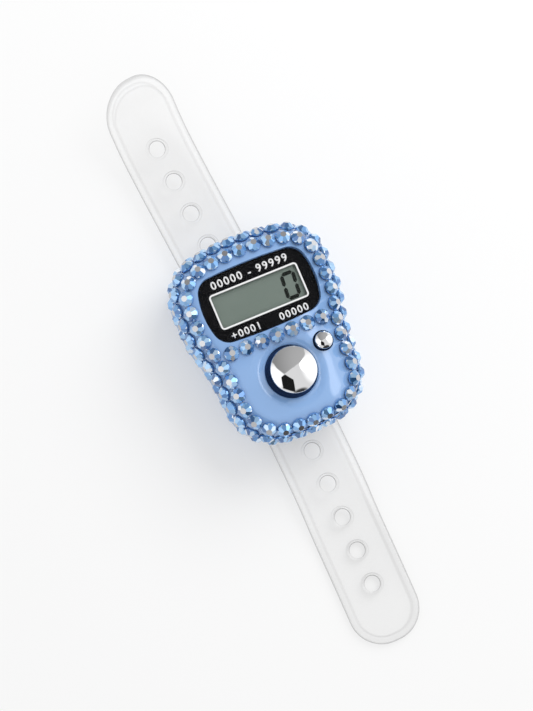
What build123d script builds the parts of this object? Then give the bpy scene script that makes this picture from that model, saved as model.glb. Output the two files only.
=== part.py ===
import os
from bisect import bisect_right
from math import cos, pi, sin, sqrt

from build123d import *

# Housing outline from above, wide at the display and narrower at the buttons
housing_height = 13.6
upper_half = 15.1
waist_step = 1.8
lower_step = 1.0
top_y = 19.85
top_bow = 2.55
lobe_y = 4.6
waist_y = -2.2
bottom_y = -18.4
bottom_bow = 1.5
top_corner_r = 7.6
lobe_r = 18.0
waist_r = 30.0
bottom_corner_r = 8.6

# Shells
wall = 1.5
top_wall = 1.4
shoulder_r = 3.4
split_share = 0.382
base_r = 3.0
lip_thickness = 0.8
lip_height = 1.0
lip_fit = 0.08
floor_thickness = 0.9

# Strap and the slot that it runs through
strap_width = 14.2
strap_thickness = 1.3
strap_length = 118.7
strap_slip = -3.2
strap_offset = -3.0
strap_yaw = 3.7
strap_bow = 1.7
strap_straight = 28.0
strap_drop_run = 7.0
strap_lift_r = 95.0
strap_lift_run = 13.0
strap_curl_r = 16.0
strap_tip_r = 6.6
strap_hole_r = 1.55
strap_hole_pitch = 7.0
strap_holes = 5
upper_first_hole = 18.0
lower_first_hole = 19.5
slot_upper_half = 10.7
slot_lower_half = 7.7
bar_height = 1.1
bar_length = 5.5
slot_gap_below = 0.2
slot_gap_above = 0.3

# Window and display
window_y = 8.3
window_margin = 3.5
window_half_height = 6.85
window_side_bow = 1.4
window_end_bow = 0.5
window_corner_r = 3.4
window_depth = 1.0
window_proud = 0.2
window_fit = 0.15
window_edge_r = 0.3
print_thickness = 0.12
display_y = 8.1
view_border = 2.8
view_height = 6.4
view_corner_r = 0.6
view_margin = 0.6
polariser_thickness = 0.2
glass_thickness = 0.6
reflector_thickness = 0.15
glass_border = 1.5
glass_height = 9.4
glass_y = 7.35
contact_ledge = 1.7
zebra_end = 0.4
zebra_depth = 1.2
zebra_height = 2.7
carrier_wall = 0.7
carrier_corner_r = 1.2
carrier_rim = 1.4
carrier_shelf = 0.6
seat_gap = 0.05
slide_gap = 0.15

# Board, chip and cell
board_thickness = 0.8
board_margin = 0.6
chip_r = 2.8
chip_height = 1.1
chip_round = 0.6
cell_r = 5.8
cell_cap_r = 4.4
cell_cap_height = 0.35
cell_y = 0.5
cell_gap = 0.25
cell_fence = 0.8
cell_fence_share = 0.6
leaf_room = 0.8
contact_thickness = 0.2
contact_width = 3.6
contact_reach = 4.5
leaf_width = 3.0
leaf_reach = 3.6

# Buttons
count_y = -7.4
count_share = 0.33835
count_hole_gap = 0.6
count_flange_lap = 0.5
count_rise = 1.9
count_crown = 1.5
dish_width = 2.9
dish_depth = 0.45
hole_round = 0.4
reset_y = -4.35
reset_share = 0.3778
reset_hole_gap = 0.3
reset_flange_lap = 0.4
flange_gap = 0.375
reset_rise = 0.9
reset_crown = 0.8
flange_thickness = 0.9
stem_length = 0.9
button_wall = 0.9
crown_round = 0.2
count_dome_share = 0.8
reset_dome_lap = 0.6
dome_flange = 0.4
dome_taper = 0.55
dome_wall = 0.45

# Screws
case_screw_x = 5.8
case_screw_inset = 1.5
case_screw_length = 5.5
screw_r = 0.8
screw_head_r = 1.4
screw_head_height = 0.8
screw_fit = 0.03
head_fit = 0.15
boss_r = 1.4
boss_gap = 0.4
pad_height = 1.2
board_screw_inset = 5.1
board_screw_y = -0.2
board_screw_length = 3.2

# Crystals
stone_r = 1.42
stone_height = 1.15
girdle_height = 0.28
table_r = 0.62
girdle_facet_r = 0.85
stone_sides = 8
stone_gap = 0.05
stone_pitch = 2.95
first_row_run = 1.84
shoulder_row_step = 2.76
wall_row_step = 2.92
row_swing = 0.7
row_samples = 360
divider_y = -0.1
divider_inset = 3.85

# Widths and levels that follow from the sizes above
waist_half = upper_half - waist_step
lower_half = waist_half - lower_step
window_half_width = upper_half - window_margin
view_width = 2 * (window_half_width - view_border)
glass_width = 2 * (window_half_width - glass_border)
zebra_width = glass_width - 2 * zebra_end
count_r = waist_half * count_share
count_hole_r = count_r + count_hole_gap
count_flange_r = count_hole_r + count_flange_lap
dish_r = count_hole_r + dish_width
reset_r = count_r * reset_share
reset_hole_r = reset_r + reset_hole_gap
reset_flange_r = reset_hole_r + reset_flange_lap
reset_x = sqrt((count_flange_r + reset_flange_r + flange_gap) ** 2 - (reset_y - count_y) ** 2)
count_dome_r = count_r * count_dome_share
reset_dome_r = reset_r + reset_dome_lap
board_screw_x = upper_half - board_screw_inset
divider_span = 2 * (waist_half - divider_inset)
divider_spaces = int(divider_span // stone_pitch)
split_z = housing_height * split_share
ceiling = housing_height - top_wall
window_seat = housing_height - window_depth
strap_bottom = bar_height + slot_gap_below
slot_top = strap_bottom + strap_thickness + slot_gap_above
floor_top = slot_top + floor_thickness
pad_top = floor_top + pad_height
polariser_bottom = ceiling - seat_gap - polariser_thickness
front_glass_bottom = polariser_bottom - glass_thickness
rear_glass_bottom = front_glass_bottom - glass_thickness
reflector_bottom = rear_glass_bottom - reflector_thickness
board_top = front_glass_bottom - zebra_height
board_bottom = board_top - board_thickness
flange_top = ceiling - seat_gap
stem_bottom = flange_top - flange_thickness - stem_length
dome_height = stem_bottom - seat_gap - board_top
cell_bottom = floor_top + contact_thickness
cell_top = board_bottom - leaf_room
cell_thickness = cell_top - cell_bottom
lower_inset = wall + lip_fit + lip_thickness
case_screw_top_y = top_y - lower_inset - case_screw_inset - boss_r
case_screw_bottom_y = bottom_y + lower_inset + case_screw_inset + boss_r
board_top_y = case_screw_top_y - boss_r - boss_gap
board_bottom_y = case_screw_bottom_y + boss_r + boss_gap
flat_bottom = (Align.CENTER, Align.CENTER, Align.MIN)
case_screw_places = [
    (side * case_screw_x, y) for side in (-1, 1) for y in (case_screw_bottom_y, case_screw_top_y)
]
board_screw_places = [(side * board_screw_x, board_screw_y) for side in (-1, 1)]


# The housing outline, moved inwards by an inset
def outline(inset):
    top_corner_y = top_y - top_bow
    bottom_corner_y = bottom_y + bottom_bow
    corners = (
        (top_corner_y, top_corner_r),
        (lobe_y, lobe_r),
        (waist_y, waist_r),
        (bottom_corner_y, bottom_corner_r),
    )
    with BuildSketch() as shape:
        with BuildLine():
            ThreePointArc((-upper_half, top_corner_y), (0, top_y), (upper_half, top_corner_y))
            Polyline(
                (upper_half, top_corner_y), (upper_half, lobe_y),
                (waist_half, waist_y), (lower_half, bottom_corner_y),
            )
            ThreePointArc((lower_half, bottom_corner_y), (0, bottom_y), (-lower_half, bottom_corner_y))
            Polyline(
                (-lower_half, bottom_corner_y), (-waist_half, waist_y),
                (-upper_half, lobe_y), (-upper_half, top_corner_y),
            )
        make_face()
        for corner_y, radius in corners:
            nearest = shape.vertices().sort_by(lambda v: abs(v.Y - corner_y))[:2]
            fillet(nearest, radius)
        if inset:
            offset(amount=-inset)
    return shape.sketch


# The window outline, moved inwards by an inset
def window_outline(inset):
    corner_x = window_half_width - window_side_bow
    corner_y = window_half_height - window_end_bow
    with BuildSketch() as shape:
        with BuildLine():
            ThreePointArc((-corner_x, corner_y), (0, window_half_height), (corner_x, corner_y))
            ThreePointArc((corner_x, corner_y), (window_half_width, 0), (corner_x, -corner_y))
            ThreePointArc((corner_x, -corner_y), (0, -window_half_height), (-corner_x, -corner_y))
            ThreePointArc((-corner_x, -corner_y), (-window_half_width, 0), (-corner_x, corner_y))
        make_face()
        fillet(shape.vertices(), window_corner_r)
        if inset:
            offset(amount=-inset)
    return shape.sketch


# A hollow dome button on its flange, with a stem underneath
def push_button(x, y, radius, flange_radius, rise, crown):
    edge_z = housing_height + rise
    flange_bottom = flange_top - flange_thickness
    inner_r = radius - button_wall
    stem_r = inner_r / 2
    with BuildPart() as button:
        with BuildSketch(Plane.XZ):
            with BuildLine():
                ThreePointArc(
                    (-radius, edge_z), (0, edge_z + crown), (radius, edge_z)
                )
                Polyline(
                    (radius, edge_z), (radius, flange_top), (flange_radius, flange_top),
                    (flange_radius, flange_bottom), (-flange_radius, flange_bottom),
                    (-flange_radius, flange_top), (-radius, flange_top), (-radius, edge_z),
                )
            make_face()
            split(bisect_by=Plane.YZ, keep=Keep.TOP)
        revolve(axis=Axis.Z)
        rim = button.edges().filter_by(GeomType.CIRCLE).sort_by(lambda e: abs(e.center().Z - edge_z))[0]
        fillet(rim, crown_round)
        with Locations((0, 0, flange_bottom)):
            Cylinder(inner_r, edge_z - button_wall - flange_bottom, align=flat_bottom, mode=Mode.SUBTRACT)
        with Locations((0, 0, stem_bottom)):
            Cylinder(stem_r, edge_z - stem_bottom, align=flat_bottom)
    return button.part.moved(Location((x, y, 0)))


# A rubber dome that stands on the board under a button
def rubber_dome(x, y, base_radius):
    top_radius = base_radius * dome_taper
    with BuildPart() as dome:
        with Locations((0, 0, board_top)):
            Cylinder(base_radius, dome_flange, align=flat_bottom)
        with Locations((0, 0, board_top)):
            Cone(base_radius - dome_wall, top_radius, dome_height, align=flat_bottom)
            Cone(
                base_radius - 2 * dome_wall, top_radius - dome_wall, dome_height - dome_wall,
                align=flat_bottom, mode=Mode.SUBTRACT,
            )
    return dome.part.moved(Location((x, y, 0)))


# A pan-head screw that points up, with its seat under the head at a given height
def screw(seat_z, length):
    with BuildPart() as fastener:
        with Locations((0, 0, seat_z - screw_head_height)):
            Cylinder(screw_head_r, screw_head_height, align=flat_bottom)
        with Locations((0, 0, seat_z)):
            Cylinder(screw_r, length, align=flat_bottom)
    return fastener.part


os.makedirs("parts", exist_ok=True)
outer_shape = outline(0)
inner_shape = outline(wall)
lower_inner_shape = outline(lower_inset)
lip_shape = outline(wall + lip_fit)
board_shape = outline(wall + board_margin)
window_hole_shape = window_outline(0)
window_shape = window_outline(window_fit)

# Upper housing
with BuildPart() as upper_housing:
    with BuildSketch(Plane.XY.offset(split_z)):
        add(outer_shape)
    extrude(amount=housing_height - split_z)
    fillet(upper_housing.faces().sort_by(Axis.Z)[-1].edges(), shoulder_r)
    with BuildSketch(Plane.XY.offset(split_z)):
        add(inner_shape)
    extrude(amount=ceiling - split_z, mode=Mode.SUBTRACT)
    roof = upper_housing.faces().filter_by(Axis.Z).sort_by(lambda f: abs(f.center().Z - ceiling))[0]
    fillet(roof.edges(), shoulder_r - wall)
    with BuildSketch(Plane.XY.offset(window_seat)):
        with Locations((0, window_y)):
            add(window_hole_shape)
    extrude(amount=window_depth, mode=Mode.SUBTRACT)
    with BuildSketch(Plane.XY.offset(ceiling)):
        with Locations((0, display_y)):
            Rectangle(view_width + 2 * view_margin, view_height + 2 * view_margin)
    extrude(amount=window_depth, mode=Mode.SUBTRACT)
    dish_plane = Plane((0, count_y, housing_height), x_dir=(1, 0, 0), z_dir=(0, -1, 0))
    with BuildSketch(dish_plane):
        with BuildLine():
            slope = TangentArc((dish_r, 0), (count_hole_r + hole_round, -dish_depth), tangent=(-1, 0))
            rim = TangentArc(slope @ 1, (count_hole_r, -dish_depth - hole_round), tangent=slope % 1)
            Polyline(rim @ 1, (0, (rim @ 1).Y), (0, dish_depth), (dish_r, dish_depth), slope @ 0)
        make_face()
    revolve(axis=Axis((0, count_y, 0), (0, 0, 1)), mode=Mode.SUBTRACT)
    with Locations((0, count_y, ceiling)):
        Cylinder(count_hole_r, top_wall, align=flat_bottom, mode=Mode.SUBTRACT)
    with Locations((reset_x, reset_y, ceiling)):
        Cylinder(reset_hole_r, top_wall, align=flat_bottom, mode=Mode.SUBTRACT)
    with Locations(*[(x, y, pad_top + seat_gap) for x, y in case_screw_places]):
        Cylinder(boss_r, ceiling - pad_top - seat_gap, align=flat_bottom)
    with Locations(*[(x, y, board_top) for x, y in board_screw_places]):
        Cylinder(boss_r, ceiling - board_top, align=flat_bottom)
    with Locations(*[(x, y, pad_top) for x, y in case_screw_places]):
        Cylinder(screw_r + screw_fit, case_screw_length, align=flat_bottom, mode=Mode.SUBTRACT)
    with Locations(*[(x, y, board_top) for x, y in board_screw_places]):
        Cylinder(screw_r + screw_fit, board_screw_length, align=flat_bottom, mode=Mode.SUBTRACT)
upper_housing.part.label = "upper_housing"
export_step(upper_housing.part, "parts/upper_housing.step")

# Lower housing with the strap slot between two end bars
bar_span = top_y - bottom_y - 2 * bar_length
bar_middle = (top_y + bottom_y) / 2
slot_corners = (
    (-slot_upper_half, top_y + bar_length), (slot_upper_half, top_y + bar_length),
    (slot_lower_half, bottom_y - bar_length), (-slot_lower_half, bottom_y - bar_length),
)
with BuildPart() as lower_housing:
    with BuildSketch():
        add(outer_shape)
    extrude(amount=split_z)
    fillet(lower_housing.faces().sort_by(Axis.Z)[0].edges(), base_r)
    with BuildSketch(Plane.XY.offset(floor_top)):
        add(lower_inner_shape)
    extrude(amount=split_z - floor_top, mode=Mode.SUBTRACT)
    with BuildSketch(Plane.XY.offset(split_z)):
        add(lip_shape)
        add(lower_inner_shape, mode=Mode.SUBTRACT)
    extrude(amount=lip_height)
    with BuildSketch(Plane.XY.offset(bar_height)):
        Polygon(*slot_corners, align=None)
    extrude(amount=slot_top - bar_height, mode=Mode.SUBTRACT)
    with BuildSketch():
        Polygon(*slot_corners, align=None)
        with Locations((0, bar_middle)):
            Rectangle(4 * slot_upper_half, bar_span, mode=Mode.INTERSECT)
    extrude(amount=slot_top, mode=Mode.SUBTRACT)
    with Locations(*[(x, y, slot_top) for x, y in case_screw_places]):
        Cylinder(boss_r + screw_r, pad_top - slot_top, align=flat_bottom)
    with Locations(*[(x, y, slot_top) for x, y in case_screw_places]):
        Cylinder(screw_r + head_fit, pad_top - slot_top, align=flat_bottom, mode=Mode.SUBTRACT)
        Cylinder(
            screw_head_r + head_fit, screw_head_height + head_fit, align=flat_bottom, mode=Mode.SUBTRACT
        )
    with BuildSketch(Plane.XY.offset(floor_top)):
        with Locations((0, cell_y)):
            Circle(cell_r + cell_gap + cell_fence)
            Circle(cell_r + cell_gap, mode=Mode.SUBTRACT)
            with Locations((0, -cell_r)):
                Rectangle(contact_width + 2 * cell_gap, 2 * cell_r, mode=Mode.SUBTRACT)
    extrude(amount=cell_thickness * cell_fence_share)
lower_housing.part.label = "lower_housing"
export_step(lower_housing.part, "parts/lower_housing.step")

# Clear window and the border printed behind it
window_bottom = window_seat + print_thickness + seat_gap
with BuildPart() as display_window:
    with BuildSketch(Plane.XY.offset(window_bottom)):
        with Locations((0, window_y)):
            add(window_shape)
    extrude(amount=housing_height + window_proud - window_bottom)
    fillet(display_window.faces().sort_by(Axis.Z)[-1].edges(), window_edge_r)
display_window.part.label = "display_window"
export_step(display_window.part, "parts/display_window.step")

with BuildPart() as window_print:
    with BuildSketch(Plane.XY.offset(window_seat)):
        with Locations((0, window_y)):
            add(window_shape)
        with Locations((0, display_y)):
            RectangleRounded(view_width, view_height, view_corner_r, mode=Mode.SUBTRACT)
    extrude(amount=print_thickness)
window_print.part.label = "window_print"
export_step(window_print.part, "parts/window_print.step")

# Liquid crystal cell, with a bare contact ledge on the front glass's lower edge
ledge_y = glass_y + contact_ledge / 2
with BuildPart() as lcd_polariser:
    with Locations((0, glass_y, polariser_bottom)):
        Box(glass_width, glass_height, polariser_thickness, align=flat_bottom)
lcd_polariser.part.label = "lcd_polariser"
export_step(lcd_polariser.part, "parts/lcd_polariser.step")

with BuildPart() as lcd_front_glass:
    with Locations((0, glass_y, front_glass_bottom)):
        Box(glass_width, glass_height, glass_thickness, align=flat_bottom)
lcd_front_glass.part.label = "lcd_front_glass"
export_step(lcd_front_glass.part, "parts/lcd_front_glass.step")

with BuildPart() as lcd_rear_glass:
    with Locations((0, ledge_y, rear_glass_bottom)):
        Box(glass_width, glass_height - contact_ledge, glass_thickness, align=flat_bottom)
lcd_rear_glass.part.label = "lcd_rear_glass"
export_step(lcd_rear_glass.part, "parts/lcd_rear_glass.step")

with BuildPart() as lcd_reflector:
    with Locations((0, ledge_y, reflector_bottom)):
        Box(glass_width, glass_height - contact_ledge, reflector_thickness, align=flat_bottom)
lcd_reflector.part.label = "lcd_reflector"
export_step(lcd_reflector.part, "parts/lcd_reflector.step")

# Rubber connector between the glass ledge and the board
zebra_y = glass_y - glass_height / 2 + slide_gap + zebra_depth / 2
with BuildPart() as zebra_strip:
    with Locations((0, zebra_y, board_top)):
        Box(zebra_width, zebra_depth, zebra_height, align=flat_bottom)
zebra_strip.part.label = "zebra_strip"
export_step(zebra_strip.part, "parts/zebra_strip.step")

# Frame that carries the cell on a shelf and guides the connector
carrier_width = glass_width + 2 * (slide_gap + carrier_wall)
carrier_height = glass_height + 2 * (slide_gap + carrier_wall)
shelf_bottom = reflector_bottom - carrier_shelf
pocket_y = ledge_y + carrier_rim / 2
with BuildPart() as display_carrier:
    with Locations((0, glass_y, board_top)):
        Box(carrier_width, carrier_height, ceiling - seat_gap - board_top, align=flat_bottom)
    fillet(display_carrier.edges().filter_by(Axis.Z), carrier_corner_r)
    with Locations((0, glass_y, reflector_bottom)):
        Box(
            glass_width + 2 * slide_gap, glass_height + 2 * slide_gap, ceiling - reflector_bottom,
            align=flat_bottom, mode=Mode.SUBTRACT,
        )
    with Locations((0, pocket_y, board_top)):
        Box(
            glass_width - 2 * carrier_rim, glass_height - contact_ledge - carrier_rim,
            shelf_bottom - board_top, align=flat_bottom, mode=Mode.SUBTRACT,
        )
    with Locations((0, zebra_y, board_top)):
        Box(
            zebra_width + 2 * slide_gap, zebra_depth + 2 * slide_gap, front_glass_bottom - board_top,
            align=flat_bottom, mode=Mode.SUBTRACT,
        )
display_carrier.part.label = "display_carrier"
export_step(display_carrier.part, "parts/display_carrier.step")

# Circuit board, chip and its epoxy
with BuildPart() as main_board:
    with BuildSketch(Plane.XY.offset(board_bottom)):
        add(board_shape)
        with Locations((0, (board_top_y + board_bottom_y) / 2)):
            Rectangle(4 * upper_half, board_top_y - board_bottom_y, mode=Mode.INTERSECT)
        with Locations(*board_screw_places):
            Circle(screw_r + head_fit, mode=Mode.SUBTRACT)
    extrude(amount=board_thickness)
main_board.part.label = "main_board"
export_step(main_board.part, "parts/main_board.step")

with BuildPart() as counter_chip:
    with Locations((0, pocket_y, board_top)):
        Cylinder(chip_r, chip_height, align=flat_bottom)
    fillet(counter_chip.faces().sort_by(Axis.Z)[-1].edges(), chip_round)
counter_chip.part.label = "counter_chip"
export_step(counter_chip.part, "parts/counter_chip.step")

# Button cell, can down and cap up
with BuildPart() as button_cell:
    with Locations((0, cell_y, cell_bottom)):
        Cylinder(cell_r, cell_thickness - cell_cap_height, align=flat_bottom)
        Cylinder(cell_cap_r, cell_thickness, align=flat_bottom)
button_cell.part.label = "button_cell"
export_step(button_cell.part, "parts/button_cell.step")

# Positive contact: a strip under the cell with a tab up to the board
tab_reach = cell_r + cell_gap + cell_fence + cell_gap
with BuildPart() as positive_contact:
    with Locations((0, cell_y + (contact_reach - tab_reach) / 2, floor_top)):
        Box(contact_width, contact_reach + tab_reach, contact_thickness, align=flat_bottom)
    with Locations((0, cell_y - tab_reach + contact_thickness / 2, floor_top)):
        Box(contact_width, contact_thickness, board_bottom - floor_top, align=flat_bottom)
positive_contact.part.label = "positive_contact"
export_step(positive_contact.part, "parts/positive_contact.step")

# Negative contact: a bent leaf from the board down to the cell's cap
leaf_top = board_bottom - contact_thickness / 2
leaf_low = cell_top + contact_thickness / 2
leaf_plane = Plane((0, cell_y, 0), x_dir=(1, 0, 0), z_dir=(0, -1, 0))
with BuildPart() as negative_contact:
    with BuildSketch(leaf_plane):
        with BuildLine():
            Polyline(
                (-leaf_reach, leaf_top), (-leaf_reach / 4, leaf_top),
                (leaf_reach / 2, leaf_low), (leaf_reach, leaf_low),
            )
        trace(line_width=contact_thickness)
    extrude(amount=leaf_width / 2, both=True)
negative_contact.part.label = "negative_contact"
export_step(negative_contact.part, "parts/negative_contact.step")

# Chrome buttons over their rubber domes
with BuildPart() as count_button:
    add(push_button(0, count_y, count_r, count_flange_r, count_rise, count_crown))
count_button.part.label = "count_button"
export_step(count_button.part, "parts/count_button.step")

with BuildPart() as reset_button:
    add(push_button(reset_x, reset_y, reset_r, reset_flange_r, reset_rise, reset_crown))
reset_button.part.label = "reset_button"
export_step(reset_button.part, "parts/reset_button.step")

with BuildPart() as count_dome:
    add(rubber_dome(0, count_y, count_dome_r))
count_dome.part.label = "count_dome"
export_step(count_dome.part, "parts/count_dome.step")

with BuildPart() as reset_dome:
    add(rubber_dome(reset_x, reset_y, reset_dome_r))
reset_dome.part.label = "reset_dome"
export_step(reset_dome.part, "parts/reset_dome.step")

# Screws
case_screw = screw(slot_top + screw_head_height + head_fit, case_screw_length)
with BuildPart() as case_screws:
    with Locations(*case_screw_places):
        add(case_screw)
case_screws.part.label = "case_screws"
export_step(case_screws.part, "parts/case_screws.step")

board_screw = screw(board_bottom, board_screw_length)
with BuildPart() as board_screws:
    with Locations(*board_screw_places):
        add(board_screw)
board_screws.part.label = "board_screws"
export_step(board_screws.part, "parts/board_screws.step")

# Strap: level through the slot, the lower half sinking to the table, the upper half lifting to a curled tip, and
# bowed to one side along its whole length
strap_middle = strap_bottom + strap_thickness / 2
strap_low = strap_thickness / 2
drop_half = (strap_middle - strap_low) / 2
upper_tip = strap_slip + strap_length / 2
lower_tip = strap_slip - strap_length / 2
strap_plane = Plane((strap_offset, 0, 0)).rotated((0, 0, strap_yaw))
side_plane = Plane(strap_plane.origin, x_dir=strap_plane.y_dir, z_dir=strap_plane.x_dir)
with BuildPart() as strap:
    with BuildSketch(side_plane):
        with BuildLine():
            Line((lower_tip, strap_low), (-strap_straight - 2 * strap_drop_run, strap_low))
            TangentArc(
                (-strap_straight - 2 * strap_drop_run, strap_low),
                (-strap_straight - strap_drop_run, strap_low + drop_half), tangent=(1, 0),
            )
            TangentArc(
                (-strap_straight, strap_middle), (-strap_straight - strap_drop_run, strap_low + drop_half),
                tangent=(-1, 0),
            )
            Line((-strap_straight, strap_middle), (strap_straight, strap_middle))
            lift_z = strap_middle + strap_lift_run**2 / (2 * strap_lift_r)
            lift = TangentArc(
                (strap_straight, strap_middle), (strap_straight + strap_lift_run, lift_z), tangent=(1, 0)
            )
            curl_run = upper_tip - strap_straight - strap_lift_run
            curl_z = lift_z + (lift % 1).Y * curl_run + curl_run**2 / (2 * strap_curl_r)
            TangentArc(lift @ 1, (upper_tip, curl_z), tangent=lift % 1)
        trace(line_width=strap_thickness)
    extrude(amount=strap_width, both=True)
    with BuildSketch(strap_plane) as strap_outline:
        with BuildLine():
            strap_line = ThreePointArc((0, lower_tip), (strap_bow, strap_slip), (0, upper_tip))
        trace(line_width=strap_width)
        fillet(strap_outline.vertices(), strap_tip_r)
        for step in range(strap_holes):
            for reach in (upper_first_hole + step * strap_hole_pitch, -lower_first_hole - step * strap_hole_pitch):
                hole_place = strap_line @ (0.5 + reach / strap_line.length)
                with Locations((hole_place.X, hole_place.Y)):
                    Circle(strap_hole_r, mode=Mode.SUBTRACT)
    extrude(amount=2 * housing_height, mode=Mode.INTERSECT)
strap.part.label = "strap"
export_step(strap.part, "parts/strap.step")

# One flat-back crystal: a girdle, eight main facets round a table and eight smaller ones between them
facet_turn = 90 / stone_sides
girdle_r = stone_r * cos(pi / (2 * stone_sides))
with BuildPart() as stone:
    for turn, top_r, mode in ((-facet_turn, table_r, Mode.ADD), (facet_turn, girdle_facet_r, Mode.INTERSECT)):
        with BuildSketch(Plane.XY.offset(girdle_height)):
            RegularPolygon(girdle_r, stone_sides, major_radius=False, rotation=turn)
        with BuildSketch(Plane.XY.offset(stone_height)):
            RegularPolygon(top_r, stone_sides, major_radius=False, rotation=turn)
        loft(mode=mode)
    with BuildSketch():
        RegularPolygon(stone_r, 2 * stone_sides)
    extrude(amount=girdle_height)


# Inset from the wall, height and lean of the housing's surface, at a run down from its flat top
def shoulder_point(run):
    quarter = shoulder_r * pi / 2
    if run < quarter:
        lean = run / shoulder_r
        return shoulder_r * (1 - sin(lean)), housing_height - shoulder_r * (1 - cos(lean)), lean
    return 0, housing_height - shoulder_r - (run - quarter), pi / 2


# Seats of one row round the housing, evenly spaced, lower at the button end than at the display end
def row_seats(run, phase):
    inset = shoulder_point(run)[0]
    path = outline(inset).wire()

    def seat_at(share):
        point = path.position_at(share)
        along = path.tangent_at(share)
        outward = Vector(along.Y, -along.X)
        if outward.dot(point) < 0:
            outward = -outward
        own_inset, height, lean = shoulder_point(run - row_swing * outward.Y)
        facing = outward * sin(lean) + Vector(0, 0, cos(lean))
        seat = point + outward * (inset - own_inset) + Vector(0, 0, height) + facing * stone_gap
        return Plane(seat, x_dir=along, z_dir=facing)

    samples = [seat_at(step / row_samples).origin for step in range(row_samples + 1)]
    reach = [0.0]
    for before, after in zip(samples, samples[1:]):
        reach.append(reach[-1] + (after - before).length)
    count = int(reach[-1] // stone_pitch)
    seats = []
    for index in range(count):
        target = reach[-1] * (index + phase) / count
        step = bisect_right(reach, target) - 1
        part_step = (target - reach[step]) / (reach[step + 1] - reach[step])
        seats.append(seat_at((step + part_step) / row_samples).location)
    return seats


shoulder_row_run = first_row_run + shoulder_row_step
with BuildPart() as stones_face_ring:
    with Locations(*row_seats(first_row_run, 0)):
        add(stone.part)
stones_face_ring.part.label = "stones_face_ring"
export_step(stones_face_ring.part, "parts/stones_face_ring.step")

with BuildPart() as stones_shoulder:
    with Locations(*row_seats(shoulder_row_run, 0.5)):
        add(stone.part)
stones_shoulder.part.label = "stones_shoulder"
export_step(stones_shoulder.part, "parts/stones_shoulder.step")

with BuildPart() as stones_wall:
    with Locations(*row_seats(shoulder_row_run + wall_row_step, 0)):
        add(stone.part)
stones_wall.part.label = "stones_wall"
export_step(stones_wall.part, "parts/stones_wall.step")

with BuildPart() as stones_divider:
    with Locations((0, divider_y, housing_height + stone_gap)):
        with GridLocations(divider_span / divider_spaces, 0, divider_spaces + 1, 1):
            add(stone.part)
stones_divider.part.label = "stones_divider"
export_step(stones_divider.part, "parts/stones_divider.step")
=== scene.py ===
import math
import random

import bpy
import numpy as np
from mathutils import Matrix, Vector


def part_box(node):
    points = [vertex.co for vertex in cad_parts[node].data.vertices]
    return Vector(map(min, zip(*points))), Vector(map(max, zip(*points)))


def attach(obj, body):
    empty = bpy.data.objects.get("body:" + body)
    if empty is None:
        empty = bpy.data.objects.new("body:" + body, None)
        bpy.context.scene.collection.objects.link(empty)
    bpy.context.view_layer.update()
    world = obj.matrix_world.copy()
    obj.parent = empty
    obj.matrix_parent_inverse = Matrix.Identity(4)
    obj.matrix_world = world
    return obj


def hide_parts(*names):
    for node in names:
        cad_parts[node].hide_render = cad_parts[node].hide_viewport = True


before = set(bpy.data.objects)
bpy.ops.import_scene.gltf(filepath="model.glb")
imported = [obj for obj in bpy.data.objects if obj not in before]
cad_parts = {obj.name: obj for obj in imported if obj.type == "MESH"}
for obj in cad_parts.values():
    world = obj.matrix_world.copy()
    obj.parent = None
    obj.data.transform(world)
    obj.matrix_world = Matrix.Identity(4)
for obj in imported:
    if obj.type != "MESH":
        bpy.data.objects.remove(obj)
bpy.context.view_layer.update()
mm = 0.001
noiseSpan = (0.25, 0.75)  # where most of a noise texture's values lie
linearFacing = 0.5  # the blend at which a facing weight is 1 - cosine
grazingPower = 5.0  # how fast a mirror's share rises towards grazing angles
print("frame loaded:", len(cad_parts), "nodes")


# one channel of a shader, so that its maths reads as plain sums
class Chan:
    def __init__(self, maker, socket):
        self.maker = maker
        self.socket = socket

    def sum(self, operation, first, second):
        return self.maker.node("ShaderNodeMath", {"operation": operation}, {0: first, 1: second})

    def root(self):
        return self.maker.node("ShaderNodeMath", {"operation": "SQRT"}, {0: self})

    def size(self):
        return self.maker.node("ShaderNodeMath", {"operation": "ABSOLUTE"}, {0: self})

    def past(self, start):
        return self.sum("MAXIMUM", self - start, 0.0)

    def __add__(self, other):
        return self.sum("ADD", self, other)

    def __sub__(self, other):
        return self.sum("SUBTRACT", self, other)

    def __rsub__(self, other):
        return self.sum("SUBTRACT", other, self)

    def __mul__(self, other):
        return self.sum("MULTIPLY", self, other)

    __radd__ = __add__
    __rmul__ = __mul__


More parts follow.
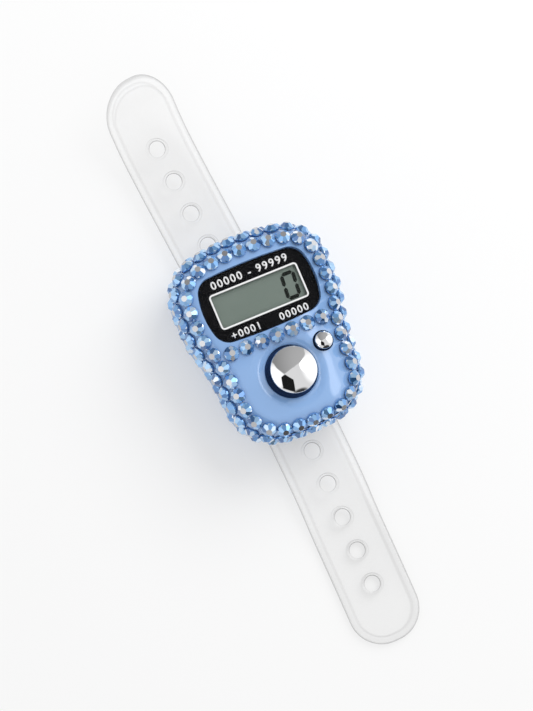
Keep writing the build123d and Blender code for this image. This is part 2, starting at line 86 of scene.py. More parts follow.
# a node tree under construction, for a material or the world
class Finish:
    def __init__(self, owner):
        self.owner = owner
        owner.use_nodes = True
        self.tree = owner.node_tree
        self.tree.nodes.clear()

    def node(self, kind, settings=None, inputs=None, output=0):
        made = self.tree.nodes.new(kind)
        for key, value in (settings or {}).items():
            if key == "stops":
                while len(made.color_ramp.elements) < len(value):
                    made.color_ramp.elements.new(0.5)  # its place is set below
                for stop, (place, colour) in zip(made.color_ramp.elements, value):
                    stop.position = place
                    stop.color = (*colour, 1)
            else:
                setattr(made, key, value)
        for key, value in (inputs or {}).items():
            if isinstance(value, Chan):
                self.tree.links.new(value.socket, made.inputs[key])
            elif isinstance(value, tuple) and len(value) == 3 and made.inputs[key].type == "RGBA":
                made.inputs[key].default_value = (*value, 1)
            else:
                made.inputs[key].default_value = value
        return Chan(self, made.outputs[output])

    def place(self):
        return self.node("ShaderNodeTexCoord", output="Object")

    def axis(self, place, name):
        return self.node("ShaderNodeSeparateXYZ", None, {0: place}, output=name)

    def mark(self, name):
        return self.node("ShaderNodeAttribute", {"attribute_name": name}, output="Fac")

    def noise(self, scale, detail=2.0):
        inputs = {"Vector": self.place(), "Scale": scale, "Detail": detail}
        return self.node("ShaderNodeTexNoise", None, inputs)

    def spread(self, value, low, high):
        return self.node("ShaderNodeMapRange", None, {"Value": value, "To Min": low, "To Max": high})

    def ramp(self, factor, stops):
        return self.node("ShaderNodeValToRGB", {"stops": stops}, {0: factor})

    def tint(self, factor, dark, light):
        return self.ramp(factor, list(zip(noiseSpan, (dark, light))))

    def bump(self, height, strength, distance):
        inputs = {"Height": height, "Strength": strength, "Distance": distance}
        return self.node("ShaderNodeBump", None, inputs)

    # mirror share of a clear surface, which rises as it turns away, the same from both sides
    def sheen(self, level, grazing):
        away = self.node("ShaderNodeLayerWeight", None, {"Blend": linearFacing}, output="Facing")
        return away.sum("POWER", away, grazingPower) * grazing + level

    def clear(self, level):
        return self.node("ShaderNodeBsdfTransparent", None, {"Color": (level,) * 3})

    def mix(self, share, first, second):
        return self.node("ShaderNodeMixShader", None, {0: share, 1: first, 2: second})

    def close(self, surface):
        forWorld = isinstance(self.owner, bpy.types.World)
        end = self.tree.nodes.new("ShaderNodeOutputWorld" if forWorld else "ShaderNodeOutputMaterial")
        self.tree.links.new(surface.socket, end.inputs["Surface"])
        return self.owner


# a mottled finish: two close tints, a roughness that wanders a little, and a fine surface grain
def plainFinish(name, dark, light, rough, grain, sockets):
    made = Finish(bpy.data.materials.new(name))
    cloud = made.noise(grain["cloud"])
    fine = made.noise(grain["fine"], grain["detail"])
    inputs = dict(sockets)
    inputs["Base Color"] = made.tint(cloud, dark, light)
    inputs["Roughness"] = made.spread(fine, *rough)
    inputs["Normal"] = made.bump(fine, grain["bump"], grain["height"])
    return made.close(made.node("ShaderNodeBsdfPrincipled", None, inputs))


def dress(node, material):
    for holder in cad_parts[node].material_slots:
        holder.material = material


def freshPiece(name):
    piece = bpy.context.object
    piece.name = name
    piece.data.name = name
    return piece


def nothingSelected():
    if bpy.context.mode != "OBJECT":
        bpy.ops.object.mode_set(mode="OBJECT")
    bpy.ops.object.select_all(action="DESELECT")


# camera, at the photograph's angle
shot = {
    "tilt": (-12.0, -3.438), "roll": -23.413, "aim": (-2.213, -2.556, 8.0),
    "distance": 450.0, "pixelsPerMm": 5.251, "pictureWidth": 533, "sensor": 36.0, "nearest": 10.0,
}
toCamera = Vector((math.sin(math.radians(shot["tilt"][0])), math.sin(math.radians(shot["tilt"][1])), 0))
toCamera.z = math.sqrt(1 - toCamera.length_squared)
roll = math.radians(shot["roll"])
pictureRight = Vector((-math.sin(roll), math.cos(roll), 0)).cross(toCamera).normalized()
pictureUp = toCamera.cross(pictureRight)
nothingSelected()
bpy.ops.object.camera_add()
camera = bpy.context.object
turn = Matrix((pictureRight, pictureUp, toCamera)).transposed().to_4x4()
cameraPlace = (Vector(shot["aim"]) + toCamera * shot["distance"]) * mm
camera.matrix_world = Matrix.Translation(cameraPlace) @ turn
camera.data.sensor_fit = "HORIZONTAL"
camera.data.sensor_width = shot["sensor"]
camera.data.lens = shot["sensor"] * shot["distance"] * shot["pixelsPerMm"] / shot["pictureWidth"]
camera.data.clip_start = shot["nearest"] * mm
bpy.context.scene.camera = camera
bpy.context.scene.view_settings.view_transform = "Standard"
print("camera set, lens", round(camera.data.lens, 1))

# studio: an even white room and one soft lamp; what mirrors see in it is a grey panel, a dark card, a dark
# wall, a bright window and two bright ends
studio = {
    "plain": 0.86, "room": 0.92, "panel": (0.2, 0.56), "card": 0.015, "wall": 0.05,
    "bright": 1.6, "window": 3.6,
    "panelEdges": (
        (0.8131, 0.3001, 0.4988), (0.7821, 0.5204, 0.3428), (-0.2435, 0.9637, -0.1096),
        (-0.4908, 0.8648, 0.1062), (-0.5647, 0.6484, 0.5107),
    ),
    "cardEdges": (
        (-0.7623, -0.5581, -0.3277), (-0.9917, 0.1247, -0.0315), (0.4, 0.4, 0.8246),
        (0.7813, -0.3272, 0.5316), (0.215, -0.9742, 0.0691),
    ),
    "panelSoft": 0.03, "cardSoft": 0.015, "panelWay": (0.85, -0.1, 0.5), "panelSpan": (-1.0, 1.0),
    "wallWay": (0.05, -0.99, 0.1), "wallEdge": (0.86, 0.92),
    "windowWay": (0.71, 0.02, 0.70), "windowEdge": (0.93, 0.985),
    "brightWays": ((-0.85, 0.05, 0.52), (0.9, -0.15, 0.42)), "brightEdge": (0.75, 0.97),
    "lampWay": (0.64, 0.40, 0.656), "lampReach": 0.7, "lampSize": 0.5, "lampPower": 3.1,
    "floorColour": 0.93, "floorGlow": 0.975, "floorShare": 0.42, "floorSize": 8.0, "floorDrop": 0.05,
}
room = Finish(bpy.data.worlds.new("studioRoom"))
way = room.node("ShaderNodeTexCoord", output="Generated")


def facing(direction, low, high):
    settings = {"operation": "DOT_PRODUCT"}
    along = room.node("ShaderNodeVectorMath", settings, {0: way, 1: direction}, output="Value")
    inputs = {"Value": along, "From Min": low, "From Max": high}
    return room.node("ShaderNodeMapRange", {"interpolation_type": "SMOOTHSTEP"}, inputs)


def within(edges, soft):
    inside = facing(edges[0], -soft, soft)
    for edge in edges[1:]:
        inside = inside * facing(edge, -soft, soft)
    return inside


def blend(level, share, other):
    return (1 - share) * level + share * other


mirrored = studio["room"]
for end in studio["brightWays"]:
    mirrored = blend(mirrored, facing(end, *studio["brightEdge"]), studio["bright"])
mirrored = blend(mirrored, facing(studio["windowWay"], *studio["windowEdge"]), studio["window"])
panelLevel = room.spread(facing(studio["panelWay"], *studio["panelSpan"]), *studio["panel"])
mirrored = blend(mirrored, within(studio["panelEdges"], studio["panelSoft"]), panelLevel)
mirrored = blend(mirrored, facing(studio["wallWay"], *studio["wallEdge"]), studio["wall"])
mirrored = blend(mirrored, within(studio["cardEdges"], studio["cardSoft"]), studio["card"])
level = blend(studio["plain"], room.node("ShaderNodeLightPath", output="Is Glossy Ray"), mirrored)
bpy.context.scene.world = room.close(room.node("ShaderNodeBackground", None, {"Strength": level}))

nothingSelected()
lampWay = Vector(studio["lampWay"]).normalized()
bpy.ops.object.light_add(type="AREA", location=lampWay * studio["lampReach"])
lamp = bpy.context.object
lamp.data.energy = studio["lampPower"]
lamp.data.size = studio["lampSize"]
lamp.visible_glossy = False
lamp.rotation_euler = lampWay.to_track_quat("Z", "Y").to_euler()

# paper floor, part of its white its own so that shadows stay pale
nothingSelected()
bpy.ops.mesh.primitive_plane_add(size=studio["floorSize"], location=(0, 0, -studio["floorDrop"] * mm))
floor = freshPiece("floor")
paper = Finish(bpy.data.materials.new("whitePaper"))
paperFace = paper.node("ShaderNodeBsdfDiffuse", None, {"Color": (studio["floorColour"],) * 3})
paperGlow = paper.node("ShaderNodeEmission", None, {"Strength": studio["floorGlow"]})
seen = paper.node("ShaderNodeLightPath", output="Is Camera Ray")
seen = seen + paper.node("ShaderNodeLightPath", output="Is Glossy Ray")
seen = seen + paper.node("ShaderNodeLightPath", output="Is Transmission Ray")
floor.data.materials.append(paper.close(paper.mix(seen * studio["floorShare"], paperFace, paperGlow)))
print("studio lit")

# finishes of the CAD nodes: dark tint, light tint, roughness from and to, grain, other sockets
gloss = {"cloud": 90.0, "fine": 900.0, "detail": 4.0, "bump": 0.03, "height": 0.00002}
satin = {"cloud": 300.0, "fine": 2500.0, "detail": 4.0, "bump": 0.15, "height": 0.00002}
metal = {"Metallic": 1.0}
plainFinishes = {
    "blackInk": (
        (0.004, 0.004, 0.005), (0.006, 0.006, 0.007), (0.25, 0.35), gloss, {"Specular IOR Level": 0.03},
    ),
    "displayFilm": ((0.18, 0.224, 0.196), (0.192, 0.236, 0.208), (0.35, 0.45), satin, {"IOR": 1.3}),
    "displayGlass": ((0.5, 0.56, 0.52), (0.55, 0.6, 0.57), (0.05, 0.08), gloss, {}),
    "reflectorFoil": ((0.55, 0.58, 0.55), (0.62, 0.66, 0.62), (0.3, 0.4), satin, metal),
    "whiteCarrier": ((0.7, 0.7, 0.68), (0.78, 0.78, 0.76), (0.4, 0.5), satin, {}),
    "blackRubber": ((0.02, 0.02, 0.02), (0.04, 0.04, 0.04), (0.6, 0.75), satin, {}),
    "greenBoard": ((0.02, 0.11, 0.04), (0.03, 0.15, 0.06), (0.3, 0.45), satin, {}),
    "chipEpoxy": ((0.01, 0.01, 0.01), (0.02, 0.02, 0.02), (0.12, 0.2), gloss, {}),
    "cellCan": ((0.6, 0.6, 0.58), (0.68, 0.68, 0.66), (0.22, 0.32), satin, metal),
    "springStrip": ((0.6, 0.58, 0.52), (0.68, 0.66, 0.6), (0.25, 0.35), satin, metal),
    "greySilicone": ((0.34, 0.35, 0.36), (0.4, 0.41, 0.42), (0.55, 0.7), satin, {}),
    "zincScrew": ((0.5, 0.5, 0.5), (0.6, 0.6, 0.6), (0.25, 0.4), satin, metal),
}
finishes = {name: plainFinish(name, *recipe) for name, recipe in plainFinishes.items()}
# the housing's gloss follows a slight crown and a dish about the count button, and rolls off to its right
shell = {
    "dark": (0.248, 0.428, 0.745), "light": (0.268, 0.45, 0.775), "rough": (0.04, 0.07), "shine": 1.75,
    "middleY": -7.4, "crown": 115.0, "dish": (5.2, 6.7), "dishDepth": 0.1, "rollFrom": 4.5, "roll": 0.06,
    "grain": 0.0000004,
}
blue = Finish(bpy.data.materials.new("blueHousing"))
shellPlace = blue.place()
shellX = blue.axis(shellPlace, "X")
shellY = blue.axis(shellPlace, "Y") - shell["middleY"] * mm
shellGrain = blue.noise(gloss["fine"], gloss["detail"])
squareAway = shellX * shellX + shellY * shellY
dish = blue.node("ShaderNodeMapRange", {"interpolation_type": "SMOOTHSTEP"}, {
    "Value": squareAway.root(), "From Min": shell["dish"][0] * mm, "From Max": shell["dish"][1] * mm,
    "To Min": -shell["dishDepth"] * mm, "To Max": 0.0,
})
rolled = shellX.past(shell["rollFrom"] * mm)
shellHeight = squareAway * (-0.5 / (shell["crown"] * mm)) + shellGrain * shell["grain"] + dish
shellHeight = shellHeight - rolled * rolled * (shell["roll"] / mm)
finishes["blueHousing"] = blue.close(blue.node("ShaderNodeBsdfPrincipled", None, {
    "Base Color": blue.tint(blue.noise(gloss["cloud"]), shell["dark"], shell["light"]),
    "Roughness": blue.spread(shellGrain, *shell["rough"]),
    "Normal": blue.bump(shellHeight, strength=1.0, distance=1.0), "IOR": shell["shine"],
}))
# the caps are plated down to the flange, which is unplated inside the housing and coloured a dark navy:
# painted shade for the shaded gap round the cap, tinted as a painted reflection of the blue wall
plate = {
    # the flange's dark navy is painted shade of the gap round the cap
    "from": 12.2, "to": 12.25, "chrome": (0.93, 0.93, 0.94), "bare": (0.016, 0.045, 0.13),
    "chromeRough": 0.03, "bareRough": 0.4, "bareShine": 0.1, "haze": 0.02,
}
chrome = Finish(bpy.data.materials.new("chromePlate"))
plated = chrome.node("ShaderNodeMapRange", None, {
    "Value": chrome.axis(chrome.place(), "Z"), "From Min": plate["from"] * mm, "From Max": plate["to"] * mm,
})
plateHaze = chrome.spread(chrome.noise(gloss["fine"], gloss["detail"]), 0.0, plate["haze"])
finishes["chromePlate"] = chrome.close(chrome.node("ShaderNodeBsdfPrincipled", None, {
    "Base Color": chrome.ramp(plated, [(0.0, plate["bare"]), (1.0, plate["chrome"])]), "Metallic": plated,
    "Roughness": plateHaze + chrome.spread(plated, plate["bareRough"], plate["chromeRough"]),
    "Specular IOR Level": plate["bareShine"],
}))
# the lens is nearly invisible apart from what it mirrors
window = {"level": 0.004, "grazing": 0.5, "clear": 0.985, "rough": 0.03}
lens = Finish(bpy.data.materials.new("clearLens"))
lensMirror = lens.node("ShaderNodeBsdfGlossy", None, {"Roughness": window["rough"]})
lensSheen = lens.sheen(window["level"], window["grazing"])
finishes["clearLens"] = lens.close(lens.mix(lensSheen, lens.clear(window["clear"]), lensMirror))
worn = {
    "upper_housing": "blueHousing", "lower_housing": "blueHousing", "display_window": "clearLens",
    "window_print": "blackInk", "lcd_polariser": "displayFilm", "lcd_front_glass": "displayGlass",
    "lcd_rear_glass": "displayGlass", "lcd_reflector": "reflectorFoil", "display_carrier": "whiteCarrier",
    "zebra_strip": "blackRubber", "main_board": "greenBoard", "counter_chip": "chipEpoxy",
    "button_cell": "cellCan", "positive_contact": "springStrip", "negative_contact": "springStrip",
    "count_button": "chromePlate", "reset_button": "chromePlate", "count_dome": "greySilicone",
    "reset_dome": "greySilicone", "case_screws": "zincScrew", "board_screws": "zincScrew",
}
for node, finish in worn.items():
    dress(node, finishes[finish])
print("CAD nodes dressed")

# crystals: one stone is cut plane by plane, and a copy goes on each seat of the CAD rows
cut = {
    "radius": 1.455, "girdle": 0.3, "height": 1.15, "table": 0.55, "sides": 16, "main": 8,
    "halves": 16, "halfLean": 52.0, "halfReach": 0.985,
    "star": 8, "starLean": 30.0, "starReach": 0.74, "starShare": 0.86, "starRise": 0.985,
    "weld": 0.002, "seed": 7,
}
nothingSelected()
bpy.ops.mesh.primitive_cylinder_add(
    vertices=cut["sides"], radius=cut["radius"], depth=cut["height"], location=(0, 0, cut["height"] / 2),
    rotation=(0, 0, math.pi / cut["sides"]),
)
stone = freshPiece("stone")
bpy.ops.object.transform_apply(location=True, rotation=True, scale=True)
bpy.ops.object.mode_set(mode="EDIT")


# a ring of equal facets, turned by offset steps
def grind(count, lean, reach, rise, offset):
    for step in range(count):
        angle = 2 * math.pi * (step + offset) / count
        out = Vector((math.cos(angle), math.sin(angle), 0))
        normal = out * math.sin(lean) + Vector((0, 0, math.cos(lean)))
        bpy.ops.mesh.select_all(action="SELECT")
        bpy.ops.mesh.bisect(
            plane_co=out * reach + Vector((0, 0, rise)), plane_no=normal, use_fill=True, clear_outer=True
        )


mainLean = math.atan2(cut["height"] - cut["girdle"], cut["radius"] - cut["table"])
grind(cut["main"], mainLean, cut["table"], cut["height"], 0.0)
halfReach = cut["radius"] * cut["halfReach"]
grind(cut["halves"], math.radians(cut["halfLean"]), halfReach, cut["girdle"], 0.5)
starReach = cut["starReach"] * cut["starShare"]
grind(cut["star"], math.radians(cut["starLean"]), starReach, cut["height"] * cut["starRise"], 0.5)
bpy.ops.object.mode_set(mode="OBJECT")


# seats of a CAD row: each stone's middle at its flat back, and the way that it faces
def rowSeats(node):
    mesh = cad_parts[node].data
    places = np.array([v.co for v in mesh.vertices], float)
    cells = np.round(places / (cut["weld"] * mm)).astype(int)
    keys = {}
    merged = [keys.setdefault(tuple(cell), len(keys)) for cell in cells]
    parent = list(range(len(keys)))

    def root(i):
        while parent[i] != i:
            parent[i] = parent[parent[i]]
            i = parent[i]
        return i

    for face in mesh.polygons:
        first, *others = [root(merged[i]) for i in face.vertices]
        for other in others:
            parent[root(other)] = first
    groups = {}
    for index, key in enumerate(merged):
        groups.setdefault(root(key), {})[key] = places[index]
    seats = []
    for group in groups.values():
        points = np.array(list(group.values()))
        middle = points.mean(0)
        axis = np.linalg.svd(points - middle)[2][2]
        height = (points - middle) @ axis
        spreadOut = np.linalg.norm(points - middle - np.outer(height, axis), axis=1)
        if spreadOut[height > 0].mean() > spreadOut[height < 0].mean():
            axis, height = -axis, -height
        seats.append((Vector(middle + axis * height.min()), Vector(axis)))
    micron = 6  # decimals of a metre
    return sorted(seats, key=lambda seat: tuple(round(x, micron) for x in seat[0]))


# each facet draws a tone, which picks its colour; the brightest tones are painted glints, and the flat
# tables draw the last, greyest ones, a painted reflection
facets = {
    "colours": [
        (0.0, (0.015, 0.075, 0.25)), (0.25, (0.075, 0.24, 0.56)), (0.5, (0.17, 0.42, 0.80)),
        # the near-white stop is a painted glint, and the grey last stop is a painted reflection on the
        # tables
        (0.75, (0.42, 0.67, 0.96)), (0.92, (0.95, 0.97, 1.0)), (1.0, (0.37, 0.365, 0.38)),
    ],
    "foilFrom": (0.95, 0.97), "foil": (0.6, 0.8), "cloud": 700.0, "rough": (0.05, 0.09), "shine": 1.6,
    "coatRough": 0.02, "coatShine": 1.7, "tableLift": 0.995, "sideLift": 0.1,
    "tableReflection": (0.962, 1.0), "sideTone": (0.25, 0.4), "tones": ((0.05, 0.35), (0.35, 0.7), (0.6, 0.92)),
}
crystal = Finish(bpy.data.materials.new("blueCrystal"))
tone = crystal.mark("tone")
foil = crystal.node("ShaderNodeMapRange", None, {
    "Value": tone, "From Min": facets["foilFrom"][0], "From Max": facets["foilFrom"][1],
    "To Min": facets["foil"][0], "To Max": facets["foil"][1],
})
crystalMaterial = crystal.close(crystal.node("ShaderNodeBsdfPrincipled", None, {
    "Base Color": crystal.ramp(tone, facets["colours"]), "Metallic": foil, "IOR": facets["shine"],
    "Roughness": crystal.spread(crystal.noise(facets["cloud"]), *facets["rough"]),
    "Coat Weight": 1.0, "Coat Roughness": facets["coatRough"], "Coat IOR": facets["coatShine"],
}))
draw = random.Random(cut["seed"])
stoneRows = ("stones_face_ring", "stones_shoulder", "stones_wall", "stones_divider")
for row in stoneRows:
    copies = []
    for seat, axis in rowSeats(row):
        mesh = stone.data.copy()
        spin = Matrix.Rotation(draw.uniform(0, 2 * math.pi / cut["main"]), 4, "Z")
        upright = axis.to_track_quat("Z", "Y").to_matrix().to_4x4()
        mesh.transform(Matrix.Translation(seat) @ upright @ Matrix.Scale(mm, 4) @ spin)
        tones = mesh.attributes.new("tone", "FLOAT", "FACE")
        for face in mesh.polygons:
            lift = face.normal.dot(axis)
            # tables draw the painted reflection's tones; other facets draw at random, the brightest ones
            # painted glints
            if lift > facets["tableLift"]:
                shade = draw.uniform(*facets["tableReflection"])
            elif lift < facets["sideLift"]:
                shade = draw.uniform(*facets["sideTone"])
            else:
                shade = draw.choice([draw.uniform(*span) for span in facets["tones"]])
            tones.data[face.index].value = shade
        copy = bpy.data.objects.new(row + "_copy", mesh)
        bpy.context.scene.collection.objects.link(copy)
        copies.append(copy)
    nothingSelected()
    for copy in copies:
        copy.select_set(True)
    bpy.context.view_layer.objects.active = copies[0]
    bpy.ops.object.join()
    crystals = freshPiece("crystals_" + row[len("stones_"):])
    crystals.data.materials.append(crystalMaterial)
    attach(crystals, "case")
    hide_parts(row)
bpy.data.objects.remove(stone)
print("crystals set")

# display: white frame line and numbers on the print, dark segments on the film
display = {
    "middleY": 8.1, "view": (17.6, 6.4), "lineWidth": 0.34, "corner": 0.75, "cornerSteps": 8,
    "digitX": 6.55, "digitY": 7.85, "digitSize": (3.05, 5.4), "stroke": 0.72, "point": 0.46, "mitre": 0.1,
    "slant": 5.0, "lift": 0.015, "skin": 0.02,
}
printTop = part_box("window_print")[1].z + display["lift"] * mm
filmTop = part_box("lcd_polariser")[1].z + display["lift"] * mm
whiteInk = plainFinish("whiteInk", (0.90, 0.90, 0.90), (0.94, 0.94, 0.94), (0.4, 0.5), satin, {})
dull = {"Specular IOR Level": 0.08}
segmentInk = plainFinish(
    "segmentInk", (0.010, 0.013, 0.011), (0.014, 0.018, 0.015), (0.3, 0.4), satin, dull
)


def thicken(piece, height):
    solid = piece.modifiers.new("skin", "SOLIDIFY")
    solid.thickness = height
    solid.offset = 1.0
    bpy.context.view_layer.objects.active = piece
    bpy.ops.object.modifier_apply(modifier=solid.name)


nothingSelected()
bpy.ops.mesh.primitive_plane_add(size=1, location=(0, display["middleY"] * mm, printTop))
frameLine = freshPiece("display_frame_line")
frameLine.scale = [(side + 2 * display["lineWidth"]) * mm for side in display["view"]] + [1]
bpy.ops.object.transform_apply(location=True, rotation=True, scale=True)
bpy.ops.object.mode_set(mode="EDIT")
bpy.ops.mesh.select_all(action="SELECT")
bpy.ops.mesh.bevel(offset=display["corner"] * mm, segments=display["cornerSteps"], affect="VERTICES")
bpy.ops.mesh.select_all(action="SELECT")
bpy.ops.mesh.inset(thickness=display["lineWidth"] * mm)
bpy.ops.mesh.delete(type="FACE")
bpy.ops.object.mode_set(mode="OBJECT")
thicken(frameLine, display["skin"] * mm)
frameLine.data.materials.append(whiteInk)
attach(frameLine, "case")

# the six lit segments of a nought, each a bar with mitred ends
halfWide = (display["digitSize"][0] - display["stroke"]) / 2
halfTall = (display["digitSize"][1] - display["stroke"]) / 2
lying = 0
standing = 90
bars = [(0, side * halfTall, halfWide, lying) for side in (1, -1)]
for up in (1, -1):
    bars += [(side * halfWide, up * halfTall / 2, halfTall / 2, standing) for side in (-1, 1)]
lean = Matrix.Identity(4)
lean[0][1] = math.tan(math.radians(display["slant"]))
home = Matrix.Translation((display["digitX"] * mm, display["digitY"] * mm, filmTop))
nothingSelected()
segments = []
for x, y, reach, turned in bars:
    bpy.ops.mesh.primitive_plane_add(size=2)
    bar = bpy.context.object
    bar.scale = (reach - display["mitre"], display["stroke"] / 2, 1)
    bpy.ops.object.transform_apply(location=True, rotation=True, scale=True)
    bpy.ops.object.mode_set(mode="EDIT")
    bpy.ops.mesh.select_all(action="SELECT")
    bpy.ops.mesh.bevel(offset=display["stroke"] * display["point"], segments=1, affect="VERTICES")
    bpy.ops.object.mode_set(mode="OBJECT")
    place = Matrix.Translation((x, y, 0)) @ Matrix.Rotation(math.radians(turned), 4, "Z")
    bar.data.transform(home @ Matrix.Scale(mm, 4) @ lean @ place)
    segments.append(bar)
for bar in segments:
    bar.select_set(True)
bpy.ops.object.join()
digit = freshPiece("display_digit")
thicken(digit, display["skin"] * mm)
digit.data.materials.append(segmentInk)
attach(digit, "case")

# plain numbers on the black border, the counter's range above, one more and nought below: text, middle, size
numbers = {
    "marks": (("00000 - 99999", 0.0, 13.05, 2.15), ("+0001", -4.9, 2.85, 2.0), ("00000", 5.0, 2.85, 2.0)),
    "spacing": 1.25, "bold": 0.05,
}
for index, (words, x, y, size) in enumerate(numbers["marks"]):
    nothingSelected()
    bpy.ops.object.text_add()
    text = bpy.context.object
    text.data.body = words
    text.data.size = size
    text.data.align_x = "CENTER"
    text.data.align_y = "CENTER"
    text.data.space_character = numbers["spacing"]
    text.data.offset = numbers["bold"]
    bpy.ops.object.convert(target="MESH")
    mark = freshPiece("border_mark_%d" % index)
    mark.data.transform(Matrix.Translation((x * mm, y * mm, printTop)) @ Matrix.Scale(mm, 4))
    thicken(mark, display["skin"] * mm)
    mark.data.materials.append(whiteInk)
    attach(mark, "case")
print("display printed")

# strap: a flat outline with its holes, given rounded edges, then laid along its line
band = {
    "width": 14.2, "length": 118.7, "thickness": 1.3, "tip": 6.6, "edge": 0.6, "holeRadius": 1.55,
    "pitch": 7.0, "holes": 5, "upperFirst": 18.0, "lowerFirst": 19.5, "tipSteps": 20, "holeSteps": 40,
    "slip": -3.2, "offset": -3.0, "yaw": 3.7, "bow": 1.7, "straight": 28.0, "dropRun": 7.0, "drop": 1.3,
    "middle": 1.95, "liftRun": 13.0, "liftRise": 0.8895, "curlRadius": 16.0, "tuck": 0.0146,
    # the hole way below is the side of each hole's rim that gets deeper painted shade
    "slice": 1.0, "edgeSteps": 6, "holeShadeWay": (0.65, 0.76), "rimReach": 1.01, "weld": 0.001, "smooth": 50.0,
}
nothingSelected()
bpy.ops.mesh.primitive_plane_add(size=1)
strap = freshPiece("clear_strap")
strap.scale = (band["width"], band["length"], 1)
bpy.ops.object.transform_apply(location=True, rotation=True, scale=True)
bpy.ops.object.mode_set(mode="EDIT")
bpy.ops.mesh.select_all(action="SELECT")
bpy.ops.mesh.bevel(offset=band["tip"], segments=band["tipSteps"], affect="VERTICES")
bpy.ops.mesh.select_all(action="SELECT")
bpy.ops.mesh.delete(type="ONLY_FACE")
holePlaces = [band["upperFirst"] + step * band["pitch"] for step in range(band["holes"])]
holePlaces += [-band["lowerFirst"] - step * band["pitch"] for step in range(band["holes"])]
for hole in holePlaces:
    bpy.ops.mesh.primitive_circle_add(
        vertices=band["holeSteps"], radius=band["holeRadius"], location=(0, hole, 0)
    )
bpy.ops.object.mode_set(mode="OBJECT")
bpy.ops.object.convert(target="CURVE")
strap = bpy.context.object
strap.data.dimensions = "2D"
strap.data.fill_mode = "BOTH"
strap.data.extrude = band["thickness"] / 2 - band["edge"]
strap.data.bevel_depth = band["edge"]
strap.data.bevel_resolution = band["edgeSteps"]
strap.data.offset = -band["edge"]
bpy.ops.object.convert(target="MESH")
strap = freshPiece("clear_strap")
bpy.ops.object.mode_set(mode="EDIT")
bpy.ops.mesh.select_all(action="SELECT")
bpy.ops.mesh.remove_doubles(threshold=band["weld"])
slices = int(band["length"] / band["slice"])
for step in range(1, slices):
    bpy.ops.mesh.select_all(action="SELECT")
    bpy.ops.mesh.bisect(plane_co=(0, band["length"] * (step / slices - 0.5), 0), plane_no=(0, 1, 0))
bpy.ops.mesh.select_all(action="SELECT")
bpy.ops.mesh.normals_make_consistent(inside=False)
bpy.ops.object.mode_set(mode="OBJECT")


# height of an arc that leaves the level at 0 and has risen by rise after run
def arcRise(x, run, rise):
    radius = (run**2 + rise**2) / (2 * rise)
    return radius - math.sqrt(radius**2 - x**2), math.asin(x / radius)


# height and slope of the strap's middle at a place along it
def strapLine(v):
    low = band["middle"] - band["drop"]
    start = -band["straight"]
    if v < start - 2 * band["dropRun"]:
        return low, 0.0
    if v < start - band["dropRun"]:
        rise, slope = arcRise(v - start + 2 * band["dropRun"], band["dropRun"], band["drop"] / 2)
        return low + rise, slope
    if v < start:
        rise, slope = arcRise(start - v, band["dropRun"], band["drop"] / 2)
        return band["middle"] - rise, slope
    if v < band["straight"]:
        return band["middle"], 0.0
    if v < band["straight"] + band["liftRun"]:
        rise, slope = arcRise(v - band["straight"], band["liftRun"], band["liftRise"])
        return band["middle"] + rise, slope
    lean = arcRise(band["liftRun"], band["liftRun"], band["liftRise"])[1]
    run = band["slip"] + band["length"] / 2 - band["straight"] - band["liftRun"]
    reach = Vector((run, math.sin(lean) * run + run**2 / (2 * band["curlRadius"])))
    across = Vector((-math.sin(lean), math.cos(lean)))
    radius = reach.length_squared / (2 * reach.dot(across))
    gone = v - band["straight"] - band["liftRun"]
    slope = math.asin(min(1.0, gone / radius + math.sin(lean)))
    return band["middle"] + band["liftRise"] + radius * (math.cos(lean) - math.cos(slope)), slope


bend = (band["length"]**2 / 4 + band["bow"]**2) / (2 * band["bow"])
yaw = Matrix.Rotation(math.radians(band["yaw"]), 3, "Z")
# the turn mark says which way a hole's rim faces, for painted shade on one side of each hole
strapMarks = ("rim", "across", "along", "turn")
for name in strapMarks:
    strap.data.attributes.new(name, "FLOAT", "POINT")
rims, acrosses, alongs, rimShadeSides = [strap.data.attributes[name].data for name in strapMarks]
for vertex in strap.data.vertices:
    across, along, up = vertex.co
    acrosses[vertex.index].value = across
    alongs[vertex.index].value = along
    out = min((Vector((across, along - hole)) for hole in holePlaces), key=lambda way: way.length)
    if out.length < band["holeRadius"] + band["rimReach"] * band["edge"]:
        level = max(0.0, abs(up) - band["thickness"] / 2 + band["edge"]) / band["edge"]
        rims[vertex.index].value = math.sqrt(max(0.0, 1 - level**2))
        # which way this rim point faces, for the painted shade on one side of its hole
        rimShadeSides[vertex.index].value = out.normalized().dot(Vector(band["holeShadeWay"]))
    height, slope = strapLine(band["slip"] + along)
    angle = math.asin(along / bend)
    sideways = band["bow"] - bend + (bend + across) * math.cos(angle)
    curled = max(0.0, band["slip"] + along - band["straight"] - band["liftRun"])
    forward = band["slip"] + along + across * math.sin(angle) - up * math.sin(slope) - band["tuck"] * curled
    spot = Vector((sideways, forward, height + up * math.cos(slope)))
    vertex.co = (yaw @ spot + Vector((band["offset"], 0, 0))) * mm
nothingSelected()
strap.select_set(True)
bpy.context.view_layer.objects.active = strap
bpy.ops.object.shade_smooth_by_angle(angle=math.radians(band["smooth"]))
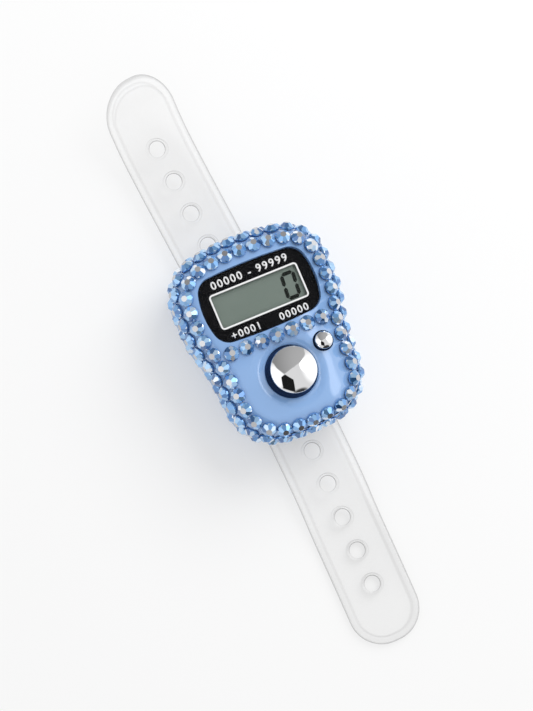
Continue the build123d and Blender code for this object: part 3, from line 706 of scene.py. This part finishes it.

# clear silicone: a faint grey with fine dark and clear lines along its rounded edges and round its holes,
# painted shade for the light those edges bend, under a thin gloss
silicone = {
    "clear": 1.0, "dark": 0.62, "shade": 0.935, "deepShade": 0.5,
    "level": 0.015, "grazing": 0.35, "rough": 0.09,
    "holeShadeLines": [(0.0, 0.0), (0.10, 0.30), (0.30, 0.0), (0.72, 0.0), (0.88, 0.4), (1.0, 0.65)],
    "edgeShadeLines": [
        (0.0, 0.68), (0.07, 0.36), (0.15, 0.06), (0.22, 0.0), (0.54, 0.0), (0.64, 0.24), (0.70, 0.18),
        (0.80, 0.03), (1.0, 0.035),
    ],
    # the swing below deepens the painted shade on one side of each hole
    "edgeDim": [(0.45, 0.2), (0.75, 0.0)], "holeDim": 0.9, "edgeReach": 2.2, "holeShadeSwing": 0.95,
    "cloud": 45.0, "cloudDetail": 1.0, "cloudShare": 0.05,
}
soft = Finish(bpy.data.materials.new("clearSilicone"))


def shareLine(factor, stops):
    return soft.ramp(factor, [(place, (share,) * 3) for place, share in stops])


# how far in from the outline, in shares of edgeReach
tipX = soft.mark("across").size().past(band["width"] / 2 - band["tip"])
tipY = soft.mark("along").size().past(band["length"] / 2 - band["tip"])
fromEdge = (band["tip"] - (tipX * tipX + tipY * tipY).root()) * (1 / silicone["edgeReach"])
softHaze = soft.noise(silicone["cloud"], silicone["cloudDetail"])
softHaze = soft.spread(softHaze, -silicone["cloudShare"], silicone["cloudShare"])
# painted shade round the holes' rims, deeper on the side that faces the hole way
holeShadeShare = shareLine(soft.mark("rim"), silicone["holeShadeLines"])
holeShadeShare = holeShadeShare * (1 + silicone["holeShadeSwing"] * soft.mark("turn"))
# share of dark grey: the painted shade lines at the edges and holes, and a random haze
shadeAndHazeShare = shareLine(fromEdge, silicone["edgeShadeLines"]) + holeShadeShare + softHaze
softBody = soft.mix(shadeAndHazeShare, soft.clear(silicone["clear"]), soft.clear(silicone["dark"]))
softShine = soft.node("ShaderNodeBsdfGlossy", None, {"Roughness": silicone["rough"]})
softSeen = soft.mix(soft.sheen(silicone["level"], silicone["grazing"]), softBody, softShine)
# what light rays meet, so that the shadow stays pale and darkens at the edges and the holes' walls
dimShare = shareLine(fromEdge, silicone["edgeDim"]) + soft.mark("rim") * silicone["holeDim"]
softShade = soft.mix(dimShare, soft.clear(silicone["shade"]), soft.clear(silicone["deepShade"]))
lightRay = soft.node("ShaderNodeLightPath", output="Is Shadow Ray")
lightRay = lightRay + soft.node("ShaderNodeLightPath", output="Is Diffuse Ray")
strap.data.materials.append(soft.close(soft.mix(lightRay, softSeen, softShade)))
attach(strap, "strap")
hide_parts("strap")
print("strap laid,", len(strap.data.polygons), "faces")
